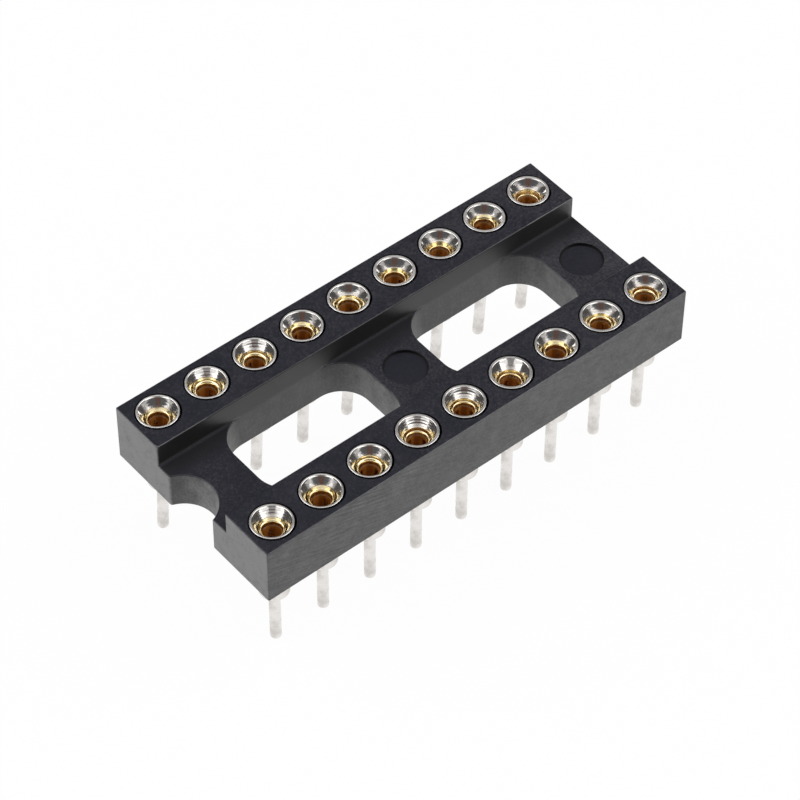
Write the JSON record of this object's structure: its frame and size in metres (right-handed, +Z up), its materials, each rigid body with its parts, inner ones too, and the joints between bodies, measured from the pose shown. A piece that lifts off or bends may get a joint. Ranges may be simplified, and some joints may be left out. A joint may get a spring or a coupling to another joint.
{
  "type": "dip socket",
  "caption": "Open-frame dual-in-line chip socket: black moulded frame with two rows of turned pin sleeves, gold-plated contact clips inside and solder tails below.",
  "frame": {"origin": "centre of the tail grid on the board's top face, which the sleeves' lower shoulders stand on", "axes": "+X along the rows, away from the notched end, +Y across them, towards pins 10 to 18, and +Z up, out of the lead holes"},
  "size_m": [0.0228, 0.0102, 0.0075],
  "materials": {
    "moulding": "satin glass-filled polyester",
    "tin_plate": "bright tin plate over turned brass",
    "gold_plate": "gold plate over sprung copper alloy"
  },
  "bodies": {
    "root": {"insulator": "moulding", "terminal_sleeve_01": "tin_plate", "terminal_sleeve_02": "tin_plate", "terminal_sleeve_03": "tin_plate", "terminal_sleeve_04": "tin_plate", "terminal_sleeve_05": "tin_plate", "terminal_sleeve_06": "tin_plate", "terminal_sleeve_07": "tin_plate", "terminal_sleeve_08": "tin_plate", "terminal_sleeve_09": "tin_plate", "terminal_sleeve_10": "tin_plate", "terminal_sleeve_11": "tin_plate", "terminal_sleeve_12": "tin_plate", "terminal_sleeve_13": "tin_plate", "terminal_sleeve_14": "tin_plate", "terminal_sleeve_15": "tin_plate", "terminal_sleeve_16": "tin_plate", "terminal_sleeve_17": "tin_plate", "terminal_sleeve_18": "tin_plate", "contact_clip_01": "gold_plate", "contact_clip_02": "gold_plate", "contact_clip_03": "gold_plate", "contact_clip_04": "gold_plate", "contact_clip_05": "gold_plate", "contact_clip_06": "gold_plate", "contact_clip_07": "gold_plate", "contact_clip_08": "gold_plate", "contact_clip_09": "gold_plate", "contact_clip_10": "gold_plate", "contact_clip_11": "gold_plate", "contact_clip_12": "gold_plate", "contact_clip_13": "gold_plate", "contact_clip_14": "gold_plate", "contact_clip_15": "gold_plate", "contact_clip_16": "gold_plate", "contact_clip_17": "gold_plate", "contact_clip_18": "gold_plate"}
  },
  "joints": []
}
